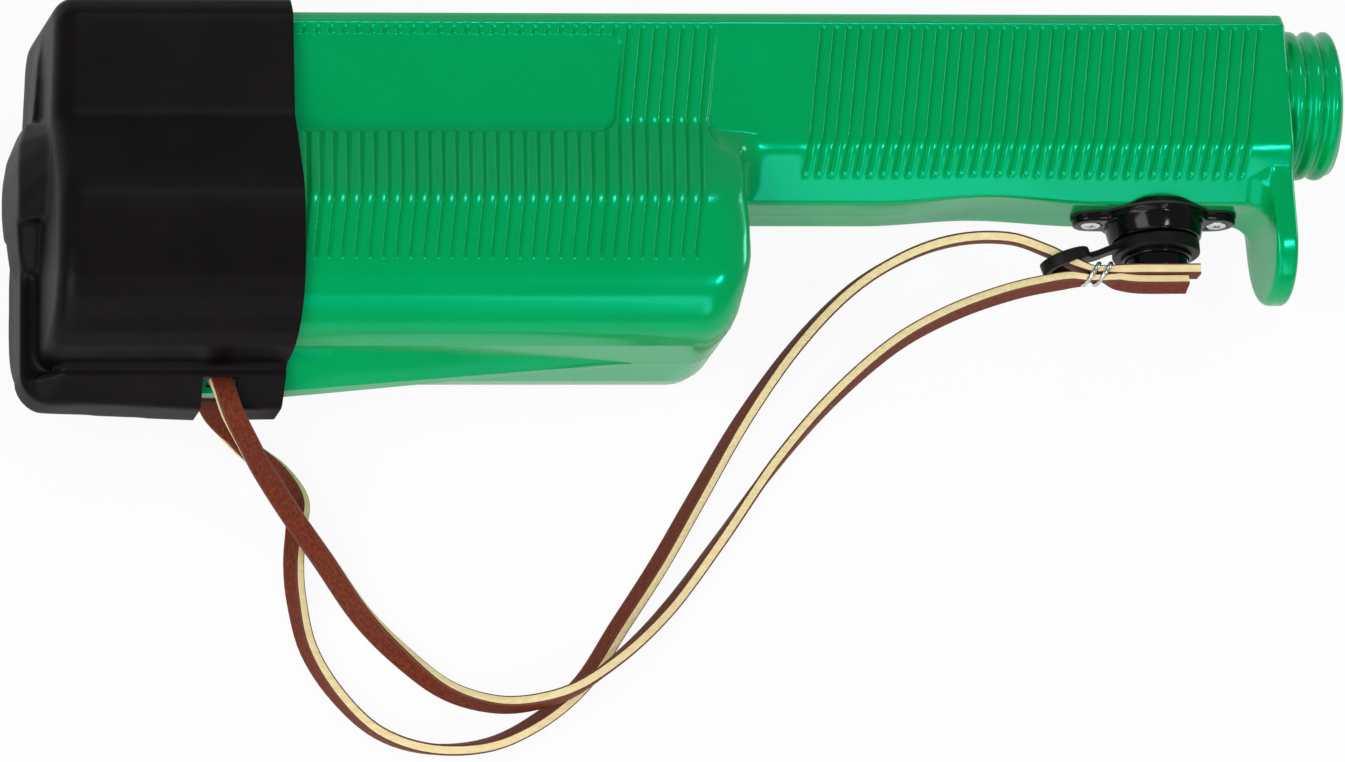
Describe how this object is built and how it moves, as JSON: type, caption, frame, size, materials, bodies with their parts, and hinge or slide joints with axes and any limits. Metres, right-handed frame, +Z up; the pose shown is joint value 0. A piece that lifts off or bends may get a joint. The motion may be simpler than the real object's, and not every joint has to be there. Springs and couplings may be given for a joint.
{
  "type": "electric livestock prod handle",
  "caption": "Pistol-style prod handle with ribbed green battery housing, rubber end boot, push switch, finger guard, threaded spigot and leather wrist lace.",
  "frame": {"origin": "on the spigot's axis, in the handle's front face, from which the spigot stands out", "axes": "+X along the handle towards the spigot, +Y from the battery box's underside to the handle's top, +Z up out of the near side as the handle lies on its far side"},
  "size_m": [0.3149, 0.1687, 0.0636],
  "materials": {
    "green_moulding": "moulded, semi-gloss green with a slight sheen",
    "boot_rubber": "matt black moulded rubber",
    "inner_plastic": "matt dark moulding",
    "contact_brass": "stamped, plain",
    "cell_sleeve": "plain printed-free sleeve, satin",
    "board_laminate": "green laminate",
    "core_iron": "ferrite, dark grey",
    "winding_tape": "amber tape over wire",
    "capacitor_sleeve": "shrink sleeve, dark blue",
    "lead_sleeve": "flexible sleeve, red",
    "switch_plastic": "glossy black",
    "keeper_rubber": "black, smooth",
    "bright_steel": "bright zinc plate",
    "lace_leather": "brown grain on the broad faces, pale cut edges"
  },
  "bodies": {
    "handle": {"housing": "green_moulding", "battery_cell_1": "cell_sleeve", "battery_cell_2": "cell_sleeve", "battery_cell_3": "cell_sleeve", "battery_cell_4": "cell_sleeve", "battery_cell_5": "cell_sleeve", "battery_cell_6": "cell_sleeve", "bay_divider": "inner_plastic", "front_contact_plate": "inner_plastic", "front_contacts": "contact_brass", "circuit_board": "board_laminate", "transformer_core": "core_iron", "transformer_winding": "winding_tape", "storage_capacitor": "capacitor_sleeve", "power_transistor": "inner_plastic", "battery_leads": "lead_sleeve", "switch_leads": "lead_sleeve", "output_leads": "lead_sleeve", "spigot_insulator": "inner_plastic", "output_contacts": "contact_brass", "switch_gasket": "keeper_rubber", "switch_flange": "switch_plastic", "switch_block": "inner_plastic", "button_spring": "bright_steel", "switch_screws": "bright_steel", "strap_keeper": "keeper_rubber", "strap_bight": "lace_leather", "strap_strand_near": "lace_leather", "strap_strand_far": "lace_leather", "wire_tie": "bright_steel"},
    "boot": {"rear_boot": "boot_rubber", "rear_plate": "inner_plastic", "bridge_strip": "contact_brass"},
    "button": {"switch_button": "switch_plastic"}
  },
  "joints": [
    {"name": "boot_pull", "type": "slide", "parent": "handle", "child": "boot", "axis": [-1, 0, 0], "range_m": [0, 0.08], "deforming": ["strap_bight", "strap_strand_near", "strap_strand_far"]},
    {"name": "button_press", "type": "slide", "parent": "handle", "child": "button", "axis": [0, 1, 0], "range_m": [0, 0.002], "stiffness_N_per_m": 1200, "deforming": ["button_spring"]}
  ]
}
